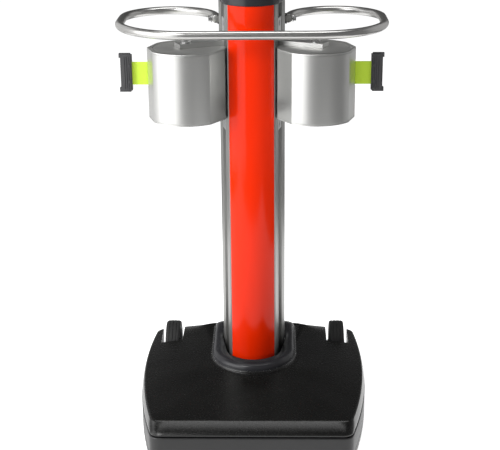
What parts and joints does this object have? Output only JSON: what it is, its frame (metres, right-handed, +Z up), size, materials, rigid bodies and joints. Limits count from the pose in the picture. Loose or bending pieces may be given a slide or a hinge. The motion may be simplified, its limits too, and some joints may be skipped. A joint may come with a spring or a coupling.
{
  "type": "wheeled barrier post",
  "caption": "Free-standing crowd-control barrier post with a weighted wheeled base, red column, carrying handle and two retractable belt cassettes.",
  "frame": {"origin": "centre of the bounding box in plan, at the underside of the rubber feet", "axes": "+Z up, -Y forward to the long side of the base and the red cover, +Y rear with the wheels, +X to the right-hand cassette"},
  "size_m": [0.613, 0.571, 1.005],
  "materials": {
    "base_moulding": "glossy black moulding",
    "skirt_rubber": "dark grey bumper, semi matt",
    "pan_plastic": "matt black",
    "zinc_fasteners": "zinc plated",
    "foot_rubber": "matt",
    "ballast": "rough cast",
    "flange_steel": "satin",
    "tyre_rubber": "matt",
    "wheel_plastic": "dark grey",
    "bush_bronze": "sintered",
    "axle_steel": "ground",
    "post_aluminium": "satin anodised",
    "red_cover": "glossy red",
    "cap_gloss": "high gloss black",
    "rail_steel": "polished stainless tube",
    "bush_black": "matt",
    "bright_fasteners": "stainless",
    "cassette_steel": "vertical satin grain",
    "plate_steel": "satin plate",
    "bracket_aluminium": "satin",
    "spool_plastic": "natural",
    "belt_webbing": "fluorescent yellow-green woven webbing",
    "spring_steel": "blued",
    "clip_plastic": "fine textured black"
  },
  "bodies": {
    "stand": {"base_shell": "base_moulding", "base_skirt": "skirt_rubber", "base_pan": "pan_plastic", "pan_screws": "zinc_fasteners", "rubber_feet": "foot_rubber", "ballast_plate": "ballast", "base_collar": "base_moulding", "collar_trim": "flange_steel", "post_foot": "flange_steel", "foot_bolts": "zinc_fasteners", "wheel_axle_left": "axle_steel", "wheel_axle_right": "axle_steel", "axle_clips": "axle_steel", "post_profile": "post_aluminium", "front_cover": "red_cover", "cover_clips": "pan_plastic", "top_cap": "cap_gloss", "cap_screws": "zinc_fasteners", "handle_rail": "rail_steel", "handle_bushes": "bush_black", "handle_bolts": "bright_fasteners", "handle_nuts": "zinc_fasteners", "cassette_shell_left": "cassette_steel", "cassette_shell_right": "cassette_steel", "cassette_top_left": "plate_steel", "cassette_top_right": "plate_steel", "cassette_bottom_left": "plate_steel", "cassette_bottom_right": "plate_steel", "bracket_left": "bracket_aluminium", "bracket_right": "bracket_aluminium", "bracket_screws": "zinc_fasteners", "arbor_left": "axle_steel", "arbor_right": "axle_steel", "arbor_nuts": "bright_fasteners", "power_spring_left": "spring_steel", "power_spring_right": "spring_steel", "guide_pins_left": "bright_fasteners", "guide_pins_right": "bright_fasteners"},
    "wheel_left": {"wheel_tyre_left": "tyre_rubber", "wheel_hub_left": "wheel_plastic", "wheel_bush_left": "bush_bronze"},
    "spool_left": {"spool_left": "spool_plastic", "belt_roll_left": "belt_webbing"},
    "belt_end_left": {"belt_tongue_left": "belt_webbing", "belt_clip_left": "clip_plastic", "clip_rivets_left": "zinc_fasteners"},
    "wheel_right": {"wheel_tyre_right": "tyre_rubber", "wheel_hub_right": "wheel_plastic", "wheel_bush_right": "bush_bronze"},
    "spool_right": {"spool_right": "spool_plastic", "belt_roll_right": "belt_webbing"},
    "belt_end_right": {"belt_tongue_right": "belt_webbing", "belt_clip_right": "clip_plastic", "clip_rivets_right": "zinc_fasteners"}
  },
  "joints": [
    {"name": "wheel_spin_left", "type": "hinge", "parent": "stand", "child": "wheel_left", "pos_m": [-0.206, 0.2, 0.066], "axis": [1, 0, 0], "continuous": true},
    {"name": "belt_pull_left", "type": "slide", "parent": "stand", "child": "belt_end_left", "axis": [-1, 0, 0], "range_m": [0, 2.3], "stiffness_N_per_m": 2.6, "springref_m": -2.3, "deforming": ["belt_tongue_left"]},
    {"name": "wheel_spin_right", "type": "hinge", "parent": "stand", "child": "wheel_right", "pos_m": [0.206, 0.2, 0.066], "axis": [1, 0, 0], "continuous": true},
    {"name": "belt_pull_right", "type": "slide", "parent": "stand", "child": "belt_end_right", "axis": [1, 0, 0], "range_m": [0, 2.3], "stiffness_N_per_m": 2.6, "springref_m": -2.3, "deforming": ["belt_tongue_right"]},
    {"name": "spool_turn_left", "type": "hinge", "parent": "stand", "child": "spool_left", "pos_m": [-0.142, 0.027, 0.8], "axis": [0, 0, 1], "range_deg": [0, 2978]},
    {"name": "spool_turn_right", "type": "hinge", "parent": "stand", "child": "spool_right", "pos_m": [0.142, 0.027, 0.8], "axis": [0, 0, 1], "range_deg": [-2978, 0]}
  ],
  "couplings": [
    {"joint": "spool_turn_left", "follows": "belt_pull_left", "rad_per_m": 22.523},
    {"joint": "spool_turn_right", "follows": "belt_pull_right", "rad_per_m": -22.523}
  ]
}
